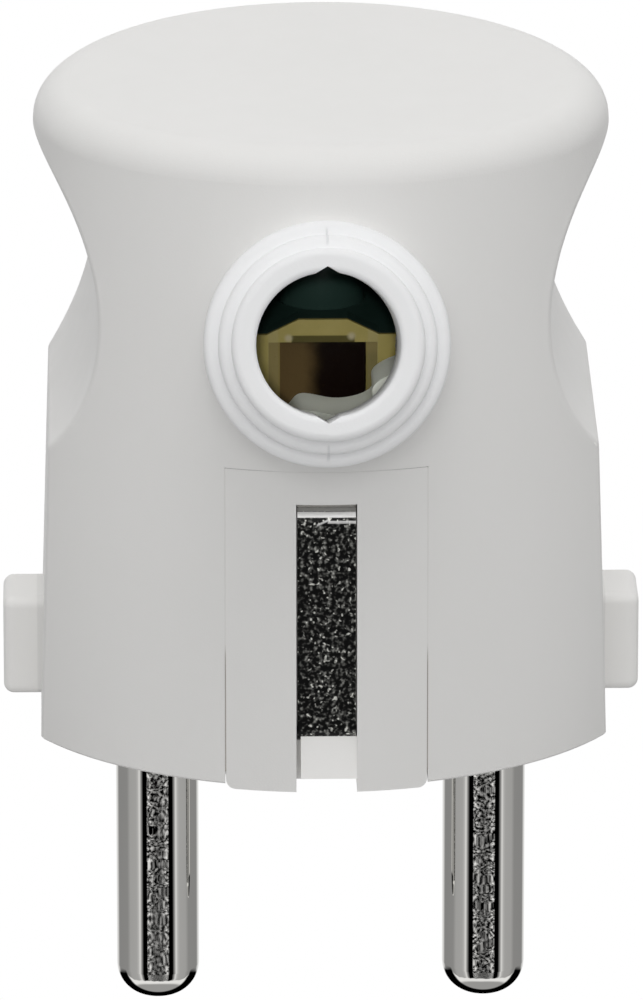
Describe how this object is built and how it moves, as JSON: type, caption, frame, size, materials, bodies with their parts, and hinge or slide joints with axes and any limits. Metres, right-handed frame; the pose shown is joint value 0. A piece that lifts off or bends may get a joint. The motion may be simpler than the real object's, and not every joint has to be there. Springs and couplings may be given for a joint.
{
  "type": "angled mains plug",
  "caption": "Rewireable angled mains plug with round pins, side earth contacts, waisted finger grips, an oval head and a stepped cable sleeve at the front.",
  "frame": {"origin": "centre of the engagement face, half way between the pins", "axes": "+Z away from the socket along the pins, -Y to the cable entry at the front, +X to the right"},
  "size_m": [0.0366, 0.041, 0.0562],
  "materials": {
    "white_plastic": "satin",
    "soft_white": "satin",
    "pale_plastic": "matte",
    "olive_thermoset": "satin",
    "nickel_plate": "polished",
    "zinc_steel": "satin",
    "brass": "satin"
  },
  "bodies": {
    "root": {"hood": "white_plastic", "base": "white_plastic", "terminal_carrier": "olive_thermoset", "earth_bracket": "nickel_plate", "cable_sleeve": "soft_white", "cord_clamp": "pale_plastic", "earth_washer": "zinc_steel", "earth_screw": "zinc_steel", "housing_screw": "zinc_steel", "threaded_bush": "brass", "pin_left": "nickel_plate", "pin_right": "nickel_plate", "terminal_washer_left": "zinc_steel", "terminal_washer_right": "zinc_steel", "terminal_screw_left": "zinc_steel", "terminal_screw_right": "zinc_steel", "clamp_screw_left": "zinc_steel", "clamp_screw_right": "zinc_steel"}
  },
  "joints": []
}
